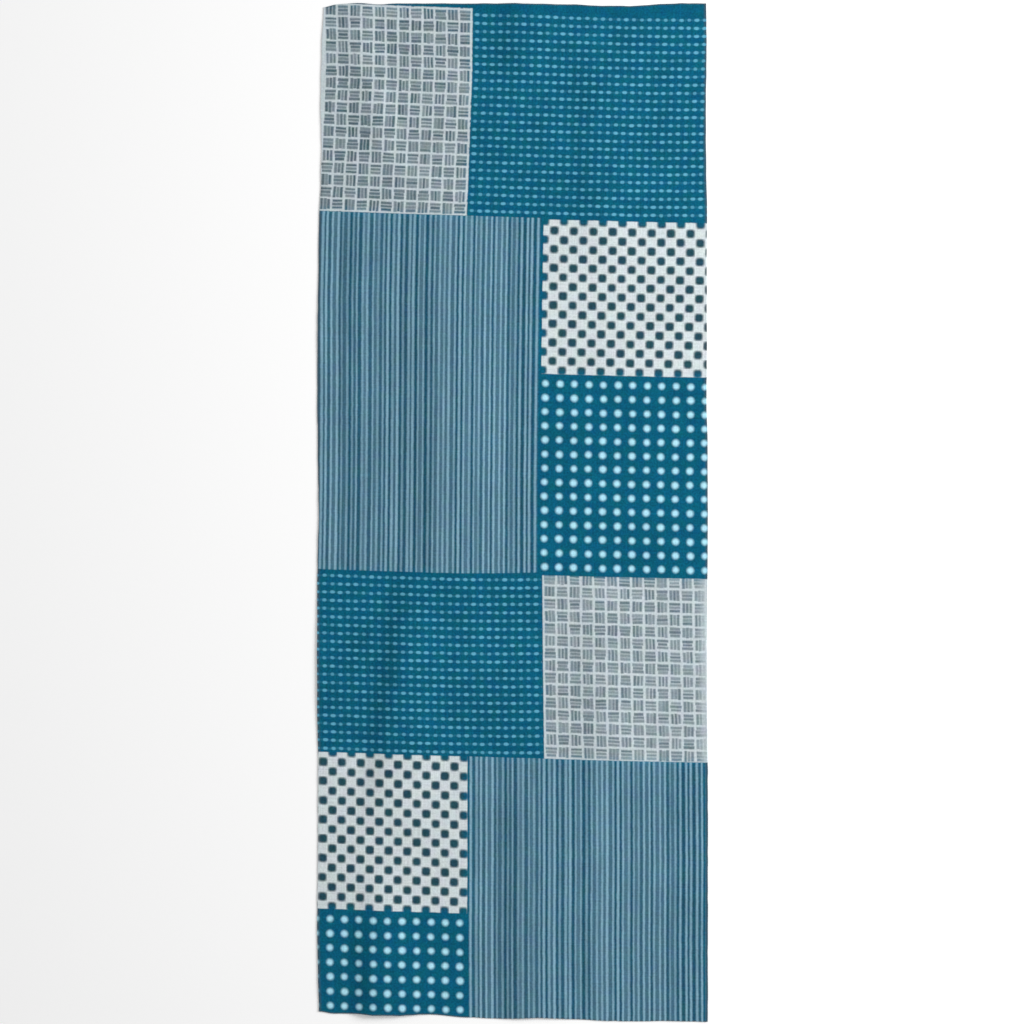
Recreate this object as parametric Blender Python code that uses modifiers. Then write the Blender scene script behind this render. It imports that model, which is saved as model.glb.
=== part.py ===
"""A long printed cotton hand towel, laid out flat and face up on a surface.

One length of cloth: cut across at both ends and bounded by a selvedge on each long side. It rests on
the plane z = 0 and is lifted off it only along a few soft ripples that its folds have left. The frame is +X
across the cloth to the right, +Y along it to the top end, +Z up, with the origin under the middle.
"""

import bisect
import math

import bmesh
import bpy

# Driving sizes, in metres.
WIDTH = 0.346
LENGTH = 0.902
THICKNESS = 0.0012
COLUMNS = 32
ROWS = 72

# How far each long side is drawn in from the plain rectangle, in mm, by the distance from the top end in mm.
SIDE_COLUMNS = ("from_top", "left", "right")
SIDES = (
    (0, 5.8, 1.6),
    (40, 3.9, 1.0),
    (90, 3.2, 1.8),
    (125, 4.0, 1.7),
    (155, 3.4, 1.3),
    (190, 1.7, 0.6),
    (225, 1.2, 1.0),
    (300, 0.3, 0.9),
    (350, 0.2, 1.1),
    (400, 0.6, 0.1),
    (450, 1.4, 0.0),
    (510, 0.3, 0.4),
    (560, 0.0, 0.9),
    (620, 0.0, 0.7),
    (690, 1.0, 0.0),
    (750, 0.7, 0.0),
    (830, 0.0, 0.0),
    (902, 1.4, 0.0),
)

# How far each cut end is drawn in, in mm, by the distance from the left side in mm. The cut follows the weft,
# which lies askew, so the bottom end climbs towards the left.
END_COLUMNS = ("from_left", "top", "bottom")
ENDS = (
    (0, 3.5, 9.2),
    (14, 0.8, 7.2),
    (30, 0.0, 7.2),
    (50, 1.1, 6.1),
    (70, 0.1, 5.7),
    (98, 0.2, 6.6),
    (135, 0.2, 3.8),
    (165, 0.2, 2.7),
    (195, 0.9, 3.4),
    (221, 1.0, 2.5),
    (255, 2.4, 0.9),
    (280, 2.5, 0.4),
    (305, 0.8, 0.8),
    (325, 0.0, 0.4),
    (346, 0.1, 0.0),
)

# Soft ripples, each a low ridge along a line that runs down the cloth. Across and down are in mm from its top
# left corner, and its height and the widths of its left and right flanks are in mm.
RIPPLE_COLUMNS = ("across_1", "down_1", "across_2", "down_2", "height", "left", "right")
RIPPLES = (
    (92, 480, 54, 740, 4.0, 27, 64),
    (57, 770, 45, 970, 3.7, 26, 56),
    (123, 150, 127, 660, 3.0, 62, 60),
    (176, -60, 181, 80, 2.6, 28, 50),
    (246, 20, 252, 230, 1.8, 32, 48),
    (192, 690, 182, 960, 1.6, 30, 60),
    (252, 500, 258, 700, 1.5, 32, 46),
    (22, -20, 70, 190, 1.3, 24, 26),
    (30, 180, 26, 400, 1.2, 15, 30),
    (-6, 530, 0, 650, 0.6, 20, 32),
)

CLOTH_COLOUR = (0.127, 0.242, 0.314, 1)
CLOTH_ROUGHNESS = 0.9

MM = 0.001


def rows_of(columns, table):
    """The table's rows as dicts, each value in metres."""
    return [dict(zip(columns, (value * MM for value in row))) for row in table]


def ease(share):
    """0 to 1 as share goes from 0 to 1, level at both ends."""
    share = min(1.0, max(0.0, share))
    return share * share * (3 - 2 * share)


def read_between(rows, key, place, column):
    """A column's value at a place along the table, eased from one row to the next."""
    places = [row[key] for row in rows]
    place = min(max(place, places[0]), places[-1])
    after = min(max(bisect.bisect_right(places, place), 1), len(rows) - 1)
    low, high = rows[after - 1], rows[after]
    share = ease((place - low[key]) / (high[key] - low[key]))
    return low[column] + (high[column] - low[column]) * share


def ripple_height(ripple, across, down):
    """A ripple's height at a point of the cloth: a bell across its line that dies out at both ends."""
    along_x = ripple["across_2"] - ripple["across_1"]
    along_y = ripple["down_2"] - ripple["down_1"]
    length = math.hypot(along_x, along_y)
    from_x, from_y = across - ripple["across_1"], down - ripple["down_1"]
    share = (from_x * along_x + from_y * along_y) / length**2
    off_line = (from_x * along_y - from_y * along_x) / length
    flank = ripple["right"] if off_line > 0 else ripple["left"]
    if not 0 < share < 1 or abs(off_line) >= flank:
        return 0.0
    bell = math.cos(math.pi / 2 * off_line / flank) ** 2
    return ripple["height"] * bell * math.sin(math.pi * share) ** 0.75


def lay(across, down, sides, ends, ripples):
    """Where a point of the flat cut cloth lies: x, y, z."""
    left = read_between(sides, "from_top", down, "left")
    right = read_between(sides, "from_top", down, "right")
    top = read_between(ends, "from_left", across, "top")
    bottom = read_between(ends, "from_left", across, "bottom")
    x = left + across / WIDTH * (WIDTH - left - right) - WIDTH / 2
    y = LENGTH / 2 - top - down / LENGTH * (LENGTH - top - bottom)
    heights = [ripple_height(ripple, across, down) for ripple in ripples]
    return x, y, max(heights)


def cloth_mesh():
    """The underside of the cloth: a grid of its cut size, laid out by lay()."""
    sides = rows_of(SIDE_COLUMNS, SIDES)
    ends = rows_of(END_COLUMNS, ENDS)
    ripples = rows_of(RIPPLE_COLUMNS, RIPPLES)
    cloth = bmesh.new()
    bmesh.ops.create_grid(cloth, x_segments=COLUMNS, y_segments=ROWS, size=0.5)
    for vertex in cloth.verts:
        across = (vertex.co.x + 0.5) * WIDTH
        down = (0.5 - vertex.co.y) * LENGTH
        vertex.co = lay(across, down, sides, ends, ripples)
    mesh = bpy.data.meshes.new("cloth")
    cloth.to_mesh(mesh)
    cloth.free()
    mesh.shade_smooth()
    return mesh


def cotton():
    material = bpy.data.materials.new("dyed_cotton")
    material.use_nodes = True
    shader = material.node_tree.nodes["Principled BSDF"]
    shader.inputs["Base Color"].default_value = CLOTH_COLOUR
    shader.inputs["Roughness"].default_value = CLOTH_ROUGHNESS
    shader.inputs["Metallic"].default_value = 0
    return material


def main():
    for thing in list(bpy.data.objects):
        bpy.data.objects.remove(thing)
    towel = bpy.data.collections.new("towel")
    bpy.context.scene.collection.children.link(towel)
    cloth = bpy.data.objects.new("cloth", cloth_mesh())
    cloth.data.materials.append(cotton())
    towel.objects.link(cloth)
    # The grid is the underside, so the thickness goes up from it and what lies on the surface stays there.
    shell = cloth.modifiers.new("thickness", "SOLIDIFY")
    shell.thickness = THICKNESS
    shell.offset = 1
    shell.use_even_offset = True


main()
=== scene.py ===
"""A long printed cotton hand towel, laid out flat and face up, with its finish, floor, light and camera.

The cloth is one thin sheet on the folds of its solid. Three places are used for a point of it: where it
lies, in metres in the frame's own axes, and its places on the print and on the flat cut cloth, in metres from
the top left corner of each. The sheet keeps the last two in UV maps, so that the print, the threads, the
dye's unevenness and the painted shade along the edges all follow the cloth.
"""

import math

import bpy
import numpy as np
from bpy.props import FloatProperty, FloatVectorProperty, IntProperty, PointerProperty
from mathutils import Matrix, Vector


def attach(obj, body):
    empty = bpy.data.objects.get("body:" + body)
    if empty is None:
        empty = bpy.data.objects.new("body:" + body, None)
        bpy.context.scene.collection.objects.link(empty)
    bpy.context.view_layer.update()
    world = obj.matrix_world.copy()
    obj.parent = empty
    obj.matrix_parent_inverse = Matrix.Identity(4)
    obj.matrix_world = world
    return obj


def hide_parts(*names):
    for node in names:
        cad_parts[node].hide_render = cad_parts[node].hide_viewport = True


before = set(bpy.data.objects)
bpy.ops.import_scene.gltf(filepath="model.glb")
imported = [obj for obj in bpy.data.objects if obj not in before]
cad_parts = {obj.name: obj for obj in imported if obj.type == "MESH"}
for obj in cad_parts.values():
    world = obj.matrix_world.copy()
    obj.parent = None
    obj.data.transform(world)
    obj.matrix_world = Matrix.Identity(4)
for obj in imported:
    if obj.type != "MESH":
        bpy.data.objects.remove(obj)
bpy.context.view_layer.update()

bl_info = {
    "name": "Printed Hand Towel",
    "version": (1, 0, 0),
    "blender": (4, 5, 0),
    "location": "3D View > Sidebar > Towel",
    "description": "Makes a long printed cotton towel that lies flat, and the stage that it lies on",
    "category": "Object",
}

MM = 0.001

PICTURE_PIXELS = 1024
FLOOR_REACH = 6.0

WIDTH = 346 * MM
LENGTH = 902 * MM

# How far each long side is drawn in from the plain rectangle, in mm, by the distance from the top end in mm.
SIDE_COLUMNS = ("from_top", "left", "right")
SIDES = (
    (0, 5.8, 1.6),
    (40, 3.9, 1.0),
    (90, 3.2, 1.8),
    (125, 4.0, 1.7),
    (155, 3.4, 1.3),
    (190, 1.7, 0.6),
    (225, 1.2, 1.0),
    (300, 0.3, 0.9),
    (350, 0.2, 1.1),
    (400, 0.6, 0.1),
    (450, 1.4, 0.0),
    (510, 0.3, 0.4),
    (560, 0.0, 0.9),
    (620, 0.0, 0.7),
    (690, 1.0, 0.0),
    (750, 0.7, 0.0),
    (830, 0.0, 0.0),
    (902, 1.4, 0.0),
)

# How far each cut end is drawn in, in mm, by the distance from the left side in mm.
END_COLUMNS = ("from_left", "top", "bottom")
ENDS = (
    (0, 3.5, 9.2),
    (14, 0.8, 7.2),
    (30, 0.0, 7.2),
    (50, 1.1, 6.1),
    (70, 0.1, 5.7),
    (98, 0.2, 6.6),
    (135, 0.2, 3.8),
    (165, 0.2, 2.7),
    (195, 0.9, 3.4),
    (221, 1.0, 2.5),
    (255, 2.4, 0.9),
    (280, 2.5, 0.4),
    (305, 0.8, 0.8),
    (325, 0.0, 0.4),
    (346, 0.1, 0.0),
)

# Soft ripples, each a low ridge along a line that runs down the cloth. Across and down are in mm from its top
# left corner, and its height and the widths of its left and right flanks are in mm.
RIPPLE_COLUMNS = ("across_1", "down_1", "across_2", "down_2", "height", "left", "right")
RIPPLES = (
    (92, 480, 54, 740, 4.0, 27, 64),
    (57, 770, 45, 970, 3.7, 26, 56),
    (123, 150, 127, 660, 3.0, 62, 60),
    (176, -60, 181, 80, 2.6, 28, 50),
    (246, 20, 252, 230, 1.8, 32, 48),
    (192, 690, 182, 960, 1.6, 30, 60),
    (252, 500, 258, 700, 1.5, 32, 46),
    (22, -20, 70, 190, 1.3, 24, 26),
    (30, 180, 26, 400, 1.2, 15, 30),
    (-6, 530, 0, 650, 0.6, 20, 32),
)

# How far the print's top left corner lies from the cloth's middle, up the cloth.
PRINT_TOP = 450 * MM

# How far the print has slid to the right of its straight place, in mm, at the cloth's left and right sides.
SLIDE_COLUMNS = ("from_top", "left", "right")
SLIDES = (
    (0, 7.2, 8.2),
    (60, 7.8, 6.2),
    (120, 5.2, 4.6),
    (190, 1.4, 3.9),
    (260, -0.1, 2.9),
    (340, 0.0, 0.9),
    (430, -0.6, -0.2),
    (510, -2.0, 0.7),
    (590, -1.8, 1.7),
    (670, -0.9, 2.8),
    (760, -1.5, 3.4),
    (830, -1.8, 3.0),
    (900, -1.5, 3.3),
)

# How far the rows of the print have dropped at the right side, in mm. They level out towards it.
DROP_COLUMNS = ("from_top", "drop")
DROPS = (
    (0, 11.0),
    (250, 9.6),
    (450, 9.3),
    (650, 9.6),
    (900, 10.6),
)
DROP_POWER = 1.21

# The fields of the print, in mm from its top left corner. The first repeat's middle and the pitch place a
# field's marks, and the tilt is how much lower its rows lie at its right side than at its left one. The
# strength is how well its marks have taken, and the fade is how far in from the cloth's right side they begin
# to weaken, or 0.
FIELD_COLUMNS = (
    "name", "repeat", "left", "right", "top", "bottom",
    "first_across", "first_down", "pitch_across", "pitch_down", "tilt", "strength", "fade",
)
FIELDS = (
    ("upper bars", "bars", -9.0, 130.2, -1.6, 182.8, 4.8, 26.2, 10.80, 10.75, 0.9, 1.0, 0.0),
    ("upper dashes", "dashes", 130.6, 360.0, 0.5, 182.0, 134.1, 4.3, 6.95, 7.25, 0.0, 1.0, 0.0),
    ("upper stripes", "stripes", -9.0, 195.5, 183.0, 500.0, -0.7, 0.0, 4.504, 1.0, 0.0, 1.0, 0.0),
    ("upper squares", "squares", 197.8, 360.0, 184.0, 321.0, 207.3, 193.7, 8.556, 8.278, 0.0, 1.0, 0.0),
    ("upper dots", "dots", 197.5, 360.0, 323.0, 498.5, 201.6, 329.5, 12.85, 12.50, 0.0, 1.0, 0.0),
    ("lower dashes", "dashes", -9.0, 198.6, 501.5, 661.5, 15.3, 520.0, 6.875, 7.28, 0.0, 1.0, 0.0),
    ("lower bars", "bars", 199.9, 360.0, 499.6, 661.8, 206.2, 536.1, 10.97, 10.92, 1.5, 0.88, 11.0),
    ("lower squares", "squares", -9.0, 132.6, 661.8, 800.5, 14.5, 679.3, 8.208, 8.517, 0.9, 1.0, 0.0),
    ("lower dots", "dots", -9.0, 131.5, 802.5, 910.0, 13.0, 809.3, 12.59, 12.79, 0.0, 1.0, 0.0),
    ("lower stripes", "stripes", 134.2, 340.8, 661.8, 910.0, 135.8, 0.0, 4.589, 1.0, 0.0, 1.0, 0.0),
)

# Each repeat's two tones, named in the colours below, and whether its ground is undyed.
REPEAT_COLUMNS = ("repeat", "undyed", "dyed", "pale_ground")
REPEATS = (
    ("dots", "undyed_dots", "dye_deep", False),
    ("dashes", "undyed_dashes", "dye_deep", False),
    ("stripes", "undyed_stripes", "dye_stripes", False),
    ("bars", "undyed_bars", "dye_bars", True),
    ("squares", "undyed", "dye_slate", True),
)


def rows_of(columns, table):
    """The table's rows as dicts."""
    return [dict(zip(columns, row)) for row in table]


def linear(*levels):
    """A colour of 0 to 255 levels as the linear colour that a shader takes."""
    shares = [level / 255 for level in levels]
    return tuple(s / 12.92 if s <= 0.04045 else ((s + 0.055) / 1.055) ** 2.4 for s in shares)


class TowelSizes(bpy.types.PropertyGroup):
    thickness: FloatProperty(
        name="Thickness", description="Thickness of the cotton", default=0.45 * MM, unit="LENGTH"
    )
    clearance: FloatProperty(
        name="Clearance", description="Height of the underside over the floor", default=0.1 * MM,
        unit="LENGTH",
    )
    columns: IntProperty(name="Columns", description="Faces across the sheet", default=130)
    rows: IntProperty(name="Rows", description="Faces down the sheet, an even number", default=340)
    crinkle: FloatProperty(
        name="Crinkle", description="Height of the cloth's small unevenness", default=0.35 * MM, unit="LENGTH"
    )
    edge_wander: FloatProperty(
        name="Edge wander", description="How far the edges stray from their line", default=0.35 * MM,
        unit="LENGTH",
    )
    thread: FloatProperty(
        name="Thread pitch", description="Distance from thread to thread", default=0.52 * MM, unit="LENGTH"
    )


class TowelColours(bpy.types.PropertyGroup):
    undyed: FloatVectorProperty(
        name="Undyed", description="Cotton round the squares", subtype="COLOR", default=linear(208, 218, 221)
    )
    undyed_bars: FloatVectorProperty(
        name="Undyed, bars", description="Cotton round the bars", subtype="COLOR",
        default=linear(197, 209, 214),
    )
    undyed_dots: FloatVectorProperty(
        name="Dots", description="Cotton of the dots", subtype="COLOR", default=linear(176, 229, 247)
    )
    undyed_dashes: FloatVectorProperty(
        name="Dashes", description="Cotton of the dashes", subtype="COLOR", default=linear(95, 169, 197)
    )
    undyed_stripes: FloatVectorProperty(
        name="Light stripes", description="Cotton of the light stripes", subtype="COLOR",
        default=linear(132, 173, 193),
    )
    dye_deep: FloatVectorProperty(
        name="Deep dye", description="Dye round the dots and dashes", subtype="COLOR",
        default=linear(6, 91, 119),
    )
    dye_stripes: FloatVectorProperty(
        name="Stripe dye", description="Dye between the light stripes", subtype="COLOR",
        default=linear(30, 82, 105),
    )
    dye_slate: FloatVectorProperty(
        name="Slate dye", description="Dye of the squares", subtype="COLOR", default=linear(36, 74, 87)
    )
    # Painted shade: the grey of the line painted along the selvedges and cut ends, in place of the shade at
    # the edges.
    painted_edge_shade: FloatVectorProperty(
        name="Painted edge shade", description="Line along the selvedges and cut ends", subtype="COLOR",
        default=linear(78, 86, 90),
    )
    dye_bars: FloatVectorProperty(
        name="Bar dye", description="Dye of the bars", subtype="COLOR", default=linear(72, 96, 107)
    )


class TowelStage(bpy.types.PropertyGroup):
    lens: FloatProperty(name="Lens", description="Focal length in mm", default=100)
    frame_width: FloatProperty(
        name="Frame width", description="Width of the picture at the cloth", default=907 * MM, unit="LENGTH"
    )
    light_height: FloatProperty(
        name="Light height", description="Height of the light over the horizon", default=math.radians(24),
        subtype="ANGLE",
    )
    light_side: FloatProperty(
        name="Light side", description="Turn of the light from the right side towards the top end",
        default=math.radians(16), subtype="ANGLE",
    )
    light_share: FloatProperty(
        name="Light share", description="Share of the light that has a direction", default=0.5
    )
    light_distance: FloatProperty(
        name="Light distance", description="Distance of the light from the cloth's middle", default=2.5,
        unit="LENGTH",
    )
    light_width: FloatProperty(
        name="Light width", description="Width of the square light", default=1.0, unit="LENGTH"
    )


class Value:
    """A number that varies over a surface: an output socket, whose sums and products add Math nodes."""

    def __init__(self, surface, socket):
        self.surface, self.socket = surface, socket

    def math(self, operation, *others, clamp=False):
        values = dict(enumerate((self, *others)))
        return self.surface.add("Math", {"operation": operation, "use_clamp": clamp}, values)

    def __add__(self, other):
        return self.math("ADD", other)

    __radd__ = __add__

    def __mul__(self, other):
        return self.math("MULTIPLY", other)

    __rmul__ = __mul__

    def __sub__(self, other):
        return self.math("SUBTRACT", other)

    def __rsub__(self, other):
        return self.math("MULTIPLY_ADD", -1, other)

    def __truediv__(self, other):
        return self.math("DIVIDE", other)

    def __pow__(self, other):
        return self.math("POWER", other)

    def __abs__(self):
        return self.math("ABSOLUTE")

    def scaled(self, scale, start, clamp=False):
        """scale times the value, plus start."""
        return self.math("MULTIPLY_ADD", scale, start, clamp=clamp)

    def spread(self, low, high):
        """low to high as the value goes from 0 to 1."""
        return self.scaled(high - low, low)

    def strays(self, reach):
        """-reach to reach as the value goes from 0 to 1."""
        return self.spread(-reach, reach)

    def rounded(self):
        return self.math("ROUND")

    def wave(self):
        return self.math("COSINE")

    def at_least(self, other):
        return self.math("MAXIMUM", other)

    def at_most(self, other):
        return self.math("MINIMUM", other)

    def between(self, low, high):
        """0 at low, 1 at high and eased between them, whichever is the larger."""
        values = {"Value": self, "From Min": low, "From Max": high}
        return self.surface.add("MapRange", {"interpolation_type": "SMOOTHSTEP"}, values)

    def over(self, line, soft):
        """0 to 1 as the value passes a line, straight over a width of 2 * soft."""
        return self.scaled(0.5 / soft, 0.5 - line * 0.5 / soft, clamp=True)

    def under(self, line, soft):
        """1 to 0 as the value passes a line, straight over a width of 2 * soft."""
        return self.scaled(-0.5 / soft, 0.5 + line * 0.5 / soft, clamp=True)


class Surface:
    """A material, with one method that adds any node to it."""

    def __init__(self, name):
        self.material = bpy.data.materials.new(name)
        self.material.use_nodes = True
        self.tree = self.material.node_tree
        self.shader = self.tree.nodes["Principled BSDF"]

    def add(self, kind, settings, values, output=0):
        node = self.tree.nodes.new("ShaderNode" + kind)
        for name, setting in settings.items():
            setattr(node, name, setting)
        for place, value in values.items():
            self.feed(node.inputs[place], value)
        return Value(self, node.outputs[output])

    def feed(self, socket, value):
        if isinstance(value, Value):
            self.tree.links.new(value.socket, socket)
        else:
            socket.default_value = value

    def vector(self, *parts):
        return self.add("CombineXYZ", {}, dict(enumerate(parts)))

    def parts(self, vector):
        """The three numbers of a vector."""
        node = self.add("SeparateXYZ", {}, {0: vector}).socket.node
        return [Value(self, socket) for socket in node.outputs]

    def millimetres(self, uv_map):
        """The place in a UV map that is in metres, in mm."""
        place = self.add("UVMap", {"uv_map": uv_map}, {})
        return self.vector_math("MULTIPLY", place, (1 / MM,) * 3)

    def stretched(self, vector, scale, start):
        """scale times the vector, plus start, each of them three numbers."""
        return self.add("VectorMath", {"operation": "MULTIPLY_ADD"}, {0: vector, 1: scale, 2: start})

    def vector_math(self, operation, *values):
        return self.add("VectorMath", {"operation": operation}, dict(enumerate(values)))

    def noise(self, vector, scale, detail=1.0, roughness=0.5, output="Fac"):
        values = {"Vector": vector, "Scale": scale, "Detail": detail, "Roughness": roughness}
        return self.add("TexNoise", {"noise_dimensions": "2D"}, values, output)

    def chance(self, across, down, seed):
        """Three random numbers of 0 to 1 that stay the same over a repeat."""
        place = self.vector(across, down, seed)
        return self.parts(self.add("TexWhiteNoise", {"noise_dimensions": "3D"}, {"Vector": place}, "Color"))

    def mix(self, share, first, second, blend="MIX"):
        """The colour first, changed to second as share goes from 0 to 1."""
        values = {0: share, 6: first, 7: second}
        return self.add("Mix", {"data_type": "RGBA", "blend_type": blend}, values, 2)


def read_between(columns, table, place, column):
    """A column at places along the table in metres, eased from one row to the next as 3s^2 - 2s^3."""
    rows = np.array(table) * MM
    places, values = rows[:, 0], rows[:, columns.index(column)]
    place = np.clip(place, places[0], places[-1])
    after = np.clip(np.searchsorted(places, place, side="right"), 1, len(places) - 1)
    share = (place - places[after - 1]) / (places[after] - places[after - 1])
    ease = share * share * (3 - 2 * share)
    return values[after - 1] + (values[after] - values[after - 1]) * ease


def read_straight(columns, table, place, column):
    """A column at places along the table in metres, in straight runs from row to row."""
    rows = np.array(table) * MM
    return np.interp(place, rows[:, 0], rows[:, columns.index(column)])


def soft_noise(across, down, size, seed):
    """Random heights of 0 to 1 at the corners of squares of one size, eased from corner to corner."""
    across, down = np.broadcast_arrays(across / size, down / size)
    column, row = np.floor(across).astype(int), np.floor(down).astype(int)
    share_x, share_y = across - column, down - row
    share_x = share_x * share_x * (3 - 2 * share_x)
    share_y = share_y * share_y * (3 - 2 * share_y)
    column, row = column - column.min(), row - row.min()
    corner = np.random.default_rng(seed).random((column.max() + 2, row.max() + 2))
    near = corner[column, row] * (1 - share_y) + corner[column, row + 1] * share_y
    far = corner[column + 1, row] * (1 - share_y) + corner[column + 1, row + 1] * share_y
    return near * (1 - share_x) + far * share_x


def ripple_height(ripple, across, down):
    """A ripple's height: cos^2 of the distance off its line, times sin^0.75 of the share along it."""
    start = np.array((ripple["across_1"], ripple["down_1"])) * MM
    along = np.array((ripple["across_2"], ripple["down_2"])) * MM - start
    length = np.hypot(*along)
    from_x, from_y = across - start[0], down - start[1]
    share = np.clip((from_x * along[0] + from_y * along[1]) / length**2, 0, 1)
    off_line = (from_x * along[1] - from_y * along[0]) / length
    flank = np.where(off_line > 0, ripple["right"], ripple["left"]) * MM
    bell = np.cos(np.pi / 2 * np.clip(np.abs(off_line) / flank, 0, 1)) ** 2
    return ripple["height"] * MM * bell * np.sin(np.pi * share) ** 0.75


def ripples_height(across, down):
    """All ripples together: the fourth root of the sum of their fourth powers, close to the highest one."""
    rows = rows_of(RIPPLE_COLUMNS, RIPPLES)
    return sum(ripple_height(row, across, down) ** 4 for row in rows) ** 0.25


def crinkle_height(across, down, height):
    """The small unevenness: 0.7 of a wide soft noise and 0.3 of a fine one, both longer down the cloth."""
    wide = soft_noise(across, down / 2.2, 26 * MM, 11)
    fine = soft_noise(across, down / 1.6, 11 * MM, 12)
    return height * (0.7 * wide + 0.3 * fine)


def lie(across, down, sizes):
    """Where points of the flat cut cloth lie: x, y and the z of the underside.

    The cloth is squeezed between its sides and ends, which are drawn in and stray, and it is lifted by the
    ripples, the crinkle and the clearance together.
    """
    left = read_between(SIDE_COLUMNS, SIDES, down, "left")
    right = read_between(SIDE_COLUMNS, SIDES, down, "right")
    top = read_between(END_COLUMNS, ENDS, across, "top")
    bottom = read_between(END_COLUMNS, ENDS, across, "bottom")
    left = left + sizes.edge_wander * (soft_noise(0 * down, down, 9 * MM, 21) - 0.5)
    right = right + sizes.edge_wander * (soft_noise(0 * down, down, 8 * MM, 22) - 0.5)
    top = top + sizes.edge_wander * (soft_noise(across, 0 * across, 6 * MM, 23) - 0.5)
    bottom = bottom + sizes.edge_wander * (soft_noise(across, 0 * across, 6 * MM, 24) - 0.5)
    x = left + across / WIDTH * (WIDTH - left - right) - WIDTH / 2
    y = LENGTH / 2 - top - down / LENGTH * (LENGTH - top - bottom)
    z = ripples_height(across, down) + crinkle_height(across, down, sizes.crinkle)
    return x, y, z + sizes.clearance


def place_on_print(x, y):
    """The place on the print that lies at x, y: what lies there, less the print's slide and drop."""
    across, down = x + WIDTH / 2, PRINT_TOP - y
    share = np.clip(across / WIDTH, 0, 1)
    left = read_straight(SLIDE_COLUMNS, SLIDES, down, "left")
    right = read_straight(SLIDE_COLUMNS, SLIDES, down, "right")
    drop = read_straight(DROP_COLUMNS, DROPS, down, "drop")
    level = 1 - (1 - share) ** DROP_POWER
    return across - left * (1 - share) - right * share, down - drop * level


def grid_mesh(name, x, y, z):
    """A mesh of quads on arrays of points, row by row from the top, with its faces pointing up."""
    rows, columns = x.shape
    points = np.stack([x, y, z], axis=-1).reshape(-1, 3)
    first = (np.arange(rows - 1)[:, None] * columns + np.arange(columns - 1)).ravel()
    quads = np.stack([first, first + columns, first + columns + 1, first + 1], axis=1)
    mesh = bpy.data.meshes.new(name)
    mesh.from_pydata(points.tolist(), [], quads.tolist())
    mesh.shade_smooth()
    return mesh, quads


def add_map(mesh, name, across, down):
    """A UV map from arrays of one value for each corner of each face."""
    layer = mesh.uv_layers.new(name=name)
    layer.uv.foreach_set("vector", np.stack([across, down], axis=-1).astype(np.float32).ravel())


def add_object(mesh, material):
    thing = bpy.data.objects.new(mesh.name, mesh)
    mesh.materials.append(material)
    bpy.context.scene.collection.objects.link(thing)
    return thing


PRINT_MAP = "print"
CUT_MAP = "cut cloth"
BAKE_MAP = "OFBake"
BAKE_MARGIN = 0.01


def towel_sheet(sizes, material):
    """The sheet: a grid over the cut cloth, laid by lie(), with its print map and a map for baking."""
    across, down = np.meshgrid(
        np.linspace(0, WIDTH, sizes.columns + 1), np.linspace(0, LENGTH, sizes.rows + 1)
    )
    x, y, z = lie(across, down, sizes)
    mesh, quads = grid_mesh("towel_sheet", x, y, z)
    print_x, print_y = place_on_print(x, y)
    add_map(mesh, PRINT_MAP, print_x.ravel()[quads], print_y.ravel()[quads])
    add_map(mesh, CUT_MAP, across.ravel()[quads], down.ravel()[quads])
    # For baking the two halves of the length lie side by side, so that they fill a square.
    row, column = np.divmod(quads, sizes.columns + 1)
    lower = (np.arange(len(quads)) // sizes.columns >= sizes.rows // 2)[:, None]
    room = 1 - 2 * BAKE_MARGIN
    bake_x = (column / sizes.columns * room + BAKE_MARGIN + lower) / 2
    bake_y = 1 - BAKE_MARGIN - (row - lower * sizes.rows / 2) / (sizes.rows / 2) * room
    add_map(mesh, BAKE_MAP, bake_x, bake_y)
    sheet = add_object(mesh, material)
    shell = sheet.modifiers.new("thickness", "SOLIDIFY")
    shell.thickness = sizes.thickness
    shell.offset = 1
    shell.use_even_offset = True
    rounding = sheet.modifiers.new("rounded edge", "BEVEL")
    rounding.width = 0.3 * sizes.thickness
    rounding.segments = 2
    rounding.limit_method = "ANGLE"
    rounding.angle_limit = math.radians(60)
    rounding.harden_normals = True
    return sheet


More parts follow.
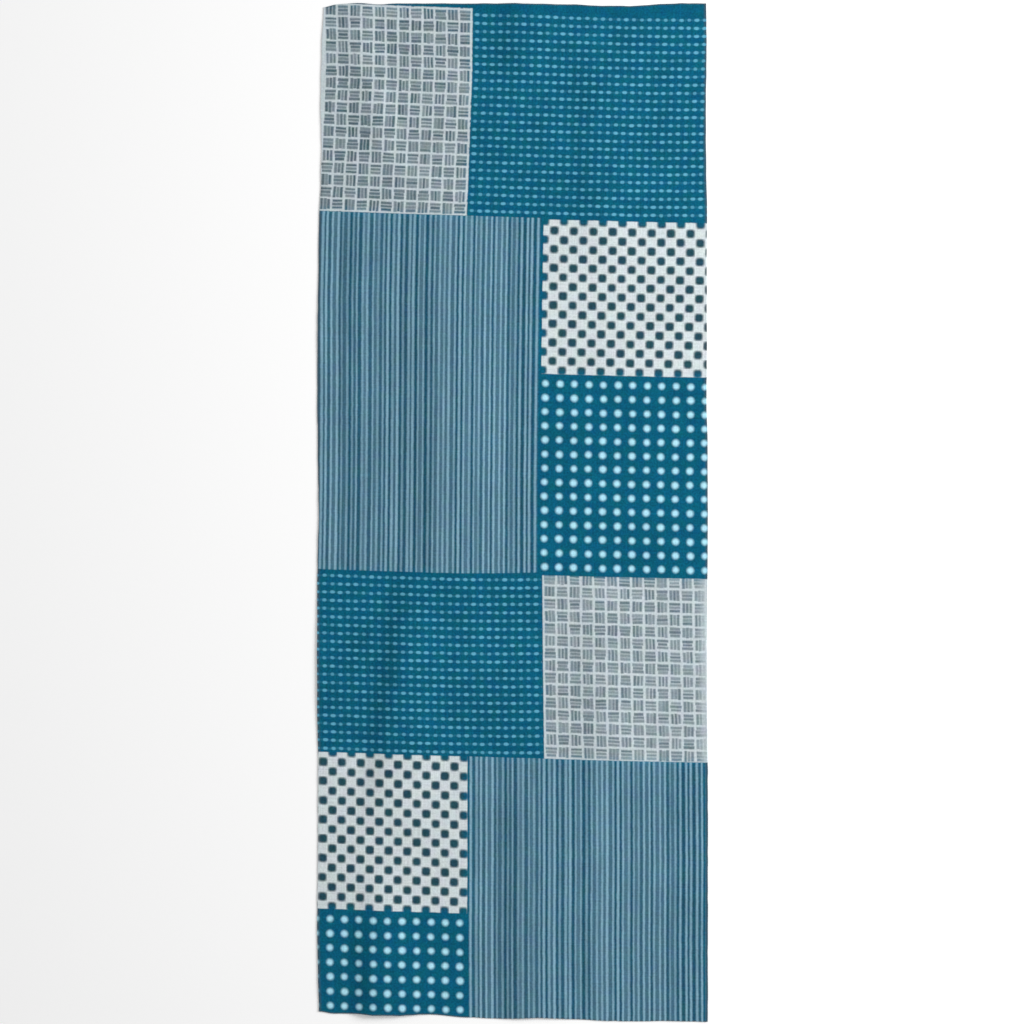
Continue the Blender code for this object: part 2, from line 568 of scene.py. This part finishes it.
class Print:
    """The print's repeats as masks, on a surface. Every length in it is in mm.

    A mark's tone is eased from its GONE value to its WHOLE value of the way off its middle line, point or
    core.
    """

    EDGE = 0.45
    TONE_INSET = 3.0
    TONE_EDGE = 3.0
    GONE_PAST_SIDE = 4.0
    DOT_GONE, DOT_WHOLE = 4.33, 1.03
    DASH_HALF_HEIGHT = 1.35
    DASH_POWER = 2.2
    DASH_GONE, DASH_WHOLE = 1.9, 0.1
    DASH_ROWS_RISE = 2.0
    STRIPE_GONE, STRIPE_WHOLE = 1.0, -0.9
    STRIPE_ENDS_RISE = 3.0
    GAP_TONE = 0.3
    SQUARE_GONE, SQUARE_WHOLE = 4.6, 1.3
    BAR_PITCH = 3.0
    BAR_GONE, BAR_WHOLE = 1.55, 0.35
    BLOCK_GONE, BLOCK_WHOLE = 5.2, 4.0

    def __init__(self, surface, x, y):
        self.surface, self.x, self.y = surface, x, y

    def inside(self, field, inset=0.0, soft=EDGE):
        """0 to 1 over a line that runs inset from a field's edges."""
        across = self.x.over(field["left"] + inset, soft) * self.x.under(field["right"] - inset, soft)
        down = self.y.over(field["top"] + inset, soft) * self.y.under(field["bottom"] - inset, soft)
        return across * down

    def cell(self, place, field, way):
        """The number of the repeat at a place, and how far the place lies from its middle."""
        pitch = field["pitch_" + way]
        count = place.scaled(1 / pitch, -field["first_" + way] / pitch)
        number = count.rounded()
        return number, (count - number) * pitch

    def share(self, field):
        """-1 to 1 across a field."""
        half = (field["right"] - field["left"]) / 2
        return self.x.scaled(1 / half, -1 - field["left"] / half)

    def cells(self, field, rise=0.0):
        """The repeat's numbers at a point, and the way from its middle, with rows that rise at the right."""
        column, from_x = self.cell(self.x, field, "across")
        right = self.share(field).at_least(0)
        y = self.y - self.share(field) * (field["tilt"] / 2) + right * right * rise
        row, from_y = self.cell(y, field, "down")
        return column, row, from_x, from_y

    def dots(self, field):
        """Round dots, each a little off its place and its size."""
        column, row, from_x, from_y = self.cells(field)
        first, second, third = self.surface.chance(column, row, 1.5)
        from_x = from_x + first.strays(0.25)
        from_y = from_y + second.strays(0.25)
        off = (from_x * from_x + from_y * from_y) ** 0.5
        return (off + third.strays(0.2)).between(self.DOT_GONE, self.DOT_WHOLE)

    def dashes(self, field):
        """Short level marks in rows, joined by a faint line.

        The way from a mark's middle is taken across and down, as shares of its half size, and the two shares,
        raised to a power, are added. A longer mark is also a stronger one.
        """
        column, row, from_x, from_y = self.cells(field, self.DASH_ROWS_RISE)
        first, second, third = self.surface.chance(column, row, 2.5)
        from_x = abs(from_x + first.strays(0.25)) * third.spread(0.61, 0.43)
        from_y = abs(from_y + second.strays(0.2)) / self.DASH_HALF_HEIGHT
        off = from_x**self.DASH_POWER + from_y**self.DASH_POWER
        mark = off.between(self.DASH_GONE, self.DASH_WHOLE) * third.spread(0.7, 1.1)
        joined = from_y.between(1.1, 0.1) * 0.12
        return mark.at_least(joined)

    def stripes(self, field):
        """Light lines down the cloth, unlike in width, place and tone, with gaps unlike in depth.

        A line's edge is eased over the way from it, less its half width, and its tone is uneven along it. At
        the right the lines end earlier, by a rise that grows with the square of the share across.
        """
        line, from_x = self.cell(self.x, field, "across")
        gap, _ = self.cell(self.x + field["pitch_across"] / 2, field, "across")
        first, second, third = self.surface.chance(line, line, 3.5)
        depth, _, _ = self.surface.chance(gap, gap, 7.5)
        uneven = self.surface.noise(self.surface.vector(line * 3.7, self.y * 0.016, 0), 1.0)
        off = abs(from_x + third.strays(0.5)) - first.spread(0.66, 1.16)
        lines = off.between(self.STRIPE_GONE, self.STRIPE_WHOLE) * (second.spread(0.44, 0.84) + uneven * 0.5)
        right = self.share(field).at_least(0)
        ended = (self.y + right * right * self.STRIPE_ENDS_RISE).under(field["bottom"], self.EDGE)
        return ended * lines.at_least(depth * depth * self.GAP_TONE)

    def squares(self, field):
        """Rounded squares on every other place, as on a chequerboard: the way from a small square core."""
        column, row, from_x, from_y = self.cells(field)
        taken = self.even(column + row)
        first, second, third = self.surface.chance(column, row, 4.5)
        core = third.spread(0.85, 1.15)
        over_x = (abs(from_x + first.strays(0.2)) - core).at_least(0)
        over_y = (abs(from_y + second.strays(0.2)) - core).at_least(0)
        off = (over_x * over_x + over_y * over_y) ** 0.5
        return off.between(self.SQUARE_GONE, self.SQUARE_WHOLE) * taken

    def bars(self, field):
        """Blocks of three bars, upright and level by turns, from the first column on.

        A bar is the way off the nearest of three lines, and the block's edge cuts it off. Each block lies a
        little askew, and dye has run between its bars.
        """
        column, row, from_x, from_y = self.cells(field)
        level = 1 - self.even(column + row)
        turn = level * (from_y - from_x)
        over_bars = from_x + turn
        along_bars = from_y - turn
        first, second, third = self.surface.chance(column, row, 5.5)
        over_bars = over_bars + first.strays(0.15) + along_bars * third.strays(0.04)
        nearest = (over_bars / self.BAR_PITCH).rounded().at_least(-1).at_most(1)
        width, length, tone = self.surface.chance(column + nearest * 0.25, row, 6.5)
        off = abs(over_bars - nearest * self.BAR_PITCH) + width.strays(0.2)
        bars = off.between(self.BAR_GONE, self.BAR_WHOLE)
        along_bars = abs(along_bars) + length.strays(0.45)
        block = abs(over_bars).between(self.BLOCK_GONE, self.BLOCK_WHOLE)
        block = block * along_bars.between(self.BLOCK_GONE, self.BLOCK_WHOLE)
        filled = second.spread(0.28, 0.58)
        started = self.x.over(field["first_across"] - field["pitch_across"] / 2, self.EDGE)
        return started * block * (filled + bars * (tone.spread(0.68, 0.98) - filled))

    def even(self, number):
        """1 where a whole number is even and 0 where it is odd."""
        return (number * math.pi).wave().scaled(0.5, 0.5)


def weave(surface, x, y, pitch):
    """Plain weave: round threads that pass over and under each other, as a height of about -1 to 1.

    A warp thread's height is half the cosine of the place along it, turned over on every other thread, plus
    half the cosine of the place across it. The weft is the same with the two ways changed, and the higher of
    the two shows.
    """
    across, down = x * (math.pi / pitch), y * (math.pi / pitch)
    column, row = (across / math.pi).rounded() * math.pi, (down / math.pi).rounded() * math.pi
    warp = (across - column).wave() + column.wave() * down.wave()
    weft = (down - row).wave() - row.wave() * across.wave()
    return warp.at_least(weft).scaled(0.5, 0.0)


def printed_cotton(sizes, colours):
    """Cotton with its print: the masks part the undyed from the dyed, and threads and slubs show on both.

    The dye is cloudy in hue, flecked and uneven in depth, which hardly shows on the undyed cotton. The low
    places of the weave are painted a little darker, as painted shade between the threads. Along the selvedges
    and the cut ends a grey line of painted shade stands in for the shade of the edges, strongest where they
    are dyed.
    """
    surface = Surface("printed_cotton")
    place = surface.millimetres(PRINT_MAP)
    plain_x, plain_y, _ = surface.parts(place)
    wander = surface.noise(place, 0.14, detail=3.0, output="Color")
    wander = surface.stretched(wander, (0.6,) * 3, (-0.3,) * 3)
    x, y, _ = surface.parts(surface.vector_math("ADD", place, wander))

    across, down, _ = surface.parts(surface.millimetres(CUT_MAP))
    from_right = WIDTH / MM - across

    towel_print = Print(surface, x, y)
    tones = {row["repeat"]: row for row in rows_of(REPEAT_COLUMNS, REPEATS)}
    dyed, undyed, light = (*colours.dye_deep, 1), (*colours.undyed, 1), 0.0
    for field in rows_of(FIELD_COLUMNS, FIELDS):
        tone = tones[field["repeat"]]
        marks = getattr(towel_print, field["repeat"])(field) * field["strength"]
        if field["fade"]:
            marks = marks * from_right.between(-Print.GONE_PAST_SIDE, field["fade"])
        inside = towel_print.inside(field)
        light = (inside * (1 - marks if tone["pale_ground"] else marks)).at_least(light)
        undyed = surface.mix(inside, undyed, (*getattr(colours, tone["undyed"]), 1))
        toned = towel_print.inside(field, Print.TONE_INSET, Print.TONE_EDGE)
        dyed = surface.mix(toned, dyed, (*getattr(colours, tone["dyed"]), 1))

    cloud = surface.noise(place, 0.09, detail=3.0, roughness=0.6, output="Color")
    depth = surface.noise(place, 0.022, detail=2.0)
    fleck = surface.noise(place, 0.55, detail=2.0, roughness=0.6)
    deep = surface.stretched(cloud, (0.5,) * 3, (0.75,) * 3)
    deep = surface.vector_math("MULTIPLY", deep, depth.spread(0.85, 1.15) * fleck.spread(0.5, 1.5))
    pale = surface.stretched(cloud, (0.14,) * 3, (0.93,) * 3)
    pale = surface.vector_math("MULTIPLY", pale, depth.spread(0.95, 1.05) * fleck.spread(0.8, 1.2))
    dyed = surface.mix(1.0, dyed, deep, "MULTIPLY")
    colour = surface.mix(light, dyed, surface.mix(1.0, undyed, pale, "MULTIPLY"))

    # Slubs are threads that are thicker and paler for a stretch, both ways.
    across_slub = surface.noise(surface.vector(plain_x * 0.035, plain_y * 0.9, 0), 1.0, detail=2.0)
    down_slub = surface.noise(surface.vector(plain_x * 0.9, plain_y * 0.035, 4), 1.0, detail=2.0)
    threads = weave(surface, plain_x, plain_y, sizes.thread / MM)
    # The tone is the slubs' own paleness times painted shade: threads.scaled(0.07, 0.98) paints the low
    # places of the weave darker, as shade between the threads.
    tone = (across_slub + down_slub).scaled(0.22, 0.78) * threads.scaled(0.07, 0.98)
    colour = surface.mix(1.0, colour, surface.vector(tone, tone, tone), "MULTIPLY")
    # Painted shade: a grey line along the selvedges and the cut ends, stronger where the cloth is dyed,
    # stands in for the shade of the edges.
    from_side = across.at_most(from_right)
    from_end = down.at_most(LENGTH / MM - down)
    line = from_side.between(3.2, 0.0).at_least(from_end.between(1.6, 0.2)) * light.spread(0.65, 0.05)
    colour = surface.mix(line, colour, (*colours.painted_edge_shade, 1))
    surface.feed(surface.shader.inputs["Base Color"], colour)
    surface.feed(surface.shader.inputs["Roughness"], across_slub.spread(0.84, 0.96))
    height = threads + (across_slub + down_slub).scaled(0.8, 0.0)
    bump = surface.add("Bump", {}, {"Height": height, "Distance": 0.06 * MM, "Strength": 0.6})
    surface.feed(surface.shader.inputs["Normal"], bump)
    surface.shader.inputs["Specular IOR Level"].default_value = 0.04
    surface.shader.inputs["Sheen Weight"].default_value = 0.05
    surface.shader.inputs["Sheen Roughness"].default_value = 0.5
    return surface.material


def plain_floor():
    """A pale matt floor that glows a little, like a lit sweep."""
    surface = Surface("pale_floor")
    surface.shader.inputs["Base Color"].default_value = (0.97, 0.97, 0.97, 1)
    surface.shader.inputs["Emission Color"].default_value = (1, 1, 1, 1)
    surface.shader.inputs["Emission Strength"].default_value = 0.1
    surface.shader.inputs["Roughness"].default_value = 0.9
    surface.shader.inputs["Specular IOR Level"].default_value = 0.1
    return surface.material


class TOWEL_OT_make_sheet(bpy.types.Operator):
    """Makes the printed cotton sheet in place of the plain cloth"""

    bl_idname = "towel.make_sheet"
    bl_label = "Make the cloth"

    def execute(self, context):
        sizes, colours = context.scene.towel_sizes, context.scene.towel_colours
        if sizes.rows % 2:
            raise ValueError("the number of rows has to be even, because the bake map halves them")
        sheet = towel_sheet(sizes, printed_cotton(sizes, colours))
        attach(sheet, "root")
        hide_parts("cloth")
        return {"FINISHED"}


class TOWEL_OT_make_stage(bpy.types.Operator):
    """Makes the floor, the light and the camera over the cloth"""

    bl_idname = "towel.make_stage"
    bl_label = "Make the stage"

    def execute(self, context):
        stage = context.scene.towel_stage
        reach = np.array((-FLOOR_REACH, FLOOR_REACH))
        x, y = np.meshgrid(reach, -reach)
        mesh, _ = grid_mesh("floor", x, y, 0 * x)
        add_object(mesh, plain_floor())

        light = bpy.data.lights.new("key_light", "AREA")
        light.size = stage.light_width
        # At this power it lights the level floor as a white sky of the strength light_share would.
        light.energy = math.pi**2 * stage.light_share * stage.light_distance**2 / math.sin(stage.light_height)
        key = bpy.data.objects.new("key_light", light)
        level, rise = math.cos(stage.light_height), math.sin(stage.light_height)
        towards = Vector((level * math.cos(stage.light_side), level * math.sin(stage.light_side), rise))
        key.rotation_euler = towards.to_track_quat("Z", "Y").to_euler()
        key.location = towards * stage.light_distance
        context.scene.collection.objects.link(key)

        world = bpy.data.worlds.new("studio")
        world.use_nodes = True
        world.node_tree.nodes["Background"].inputs["Strength"].default_value = 1 - stage.light_share
        world.node_tree.nodes["Background"].inputs["Color"].default_value = (1, 1, 1, 1)
        context.scene.world = world
        context.scene.view_settings.view_transform = "Standard"

        lens = bpy.data.cameras.new("camera")
        lens.lens = stage.lens
        camera = bpy.data.objects.new("camera", lens)
        # The cloth's middle is on the picture's pixel (512, 512), half a pixel right of and below its middle.
        half_pixel = 0.5 * stage.frame_width / PICTURE_PIXELS
        camera.location = (-half_pixel, half_pixel, stage.frame_width * stage.lens / lens.sensor_width)
        context.scene.collection.objects.link(camera)
        context.scene.camera = camera
        return {"FINISHED"}


class TOWEL_PT_panel(bpy.types.Panel):
    """Shows the buttons that make the towel and its stage, and all their settings"""

    bl_idname = "TOWEL_PT_panel"
    bl_label = "Printed hand towel"
    bl_space_type = "VIEW_3D"
    bl_region_type = "UI"
    bl_category = "Towel"

    def draw(self, context):
        for operator in OPERATORS:
            self.layout.operator(operator.bl_idname)
        for name in GROUPS:
            group = getattr(context.scene, name)
            for key in group.__annotations__:
                self.layout.prop(group, key)


GROUPS = {"towel_sizes": TowelSizes, "towel_colours": TowelColours, "towel_stage": TowelStage}
OPERATORS = (TOWEL_OT_make_sheet, TOWEL_OT_make_stage)
CLASSES = (*GROUPS.values(), *OPERATORS, TOWEL_PT_panel)


def register():
    for cls in CLASSES:
        bpy.utils.register_class(cls)
    for name, group in GROUPS.items():
        setattr(bpy.types.Scene, name, PointerProperty(type=group))


def unregister():
    for name in GROUPS:
        delattr(bpy.types.Scene, name)
    for cls in reversed(CLASSES):
        bpy.utils.unregister_class(cls)


def main():
    register()
    bpy.ops.towel.make_sheet()
    bpy.ops.towel.make_stage()


if __name__ == "__main__":
    main()
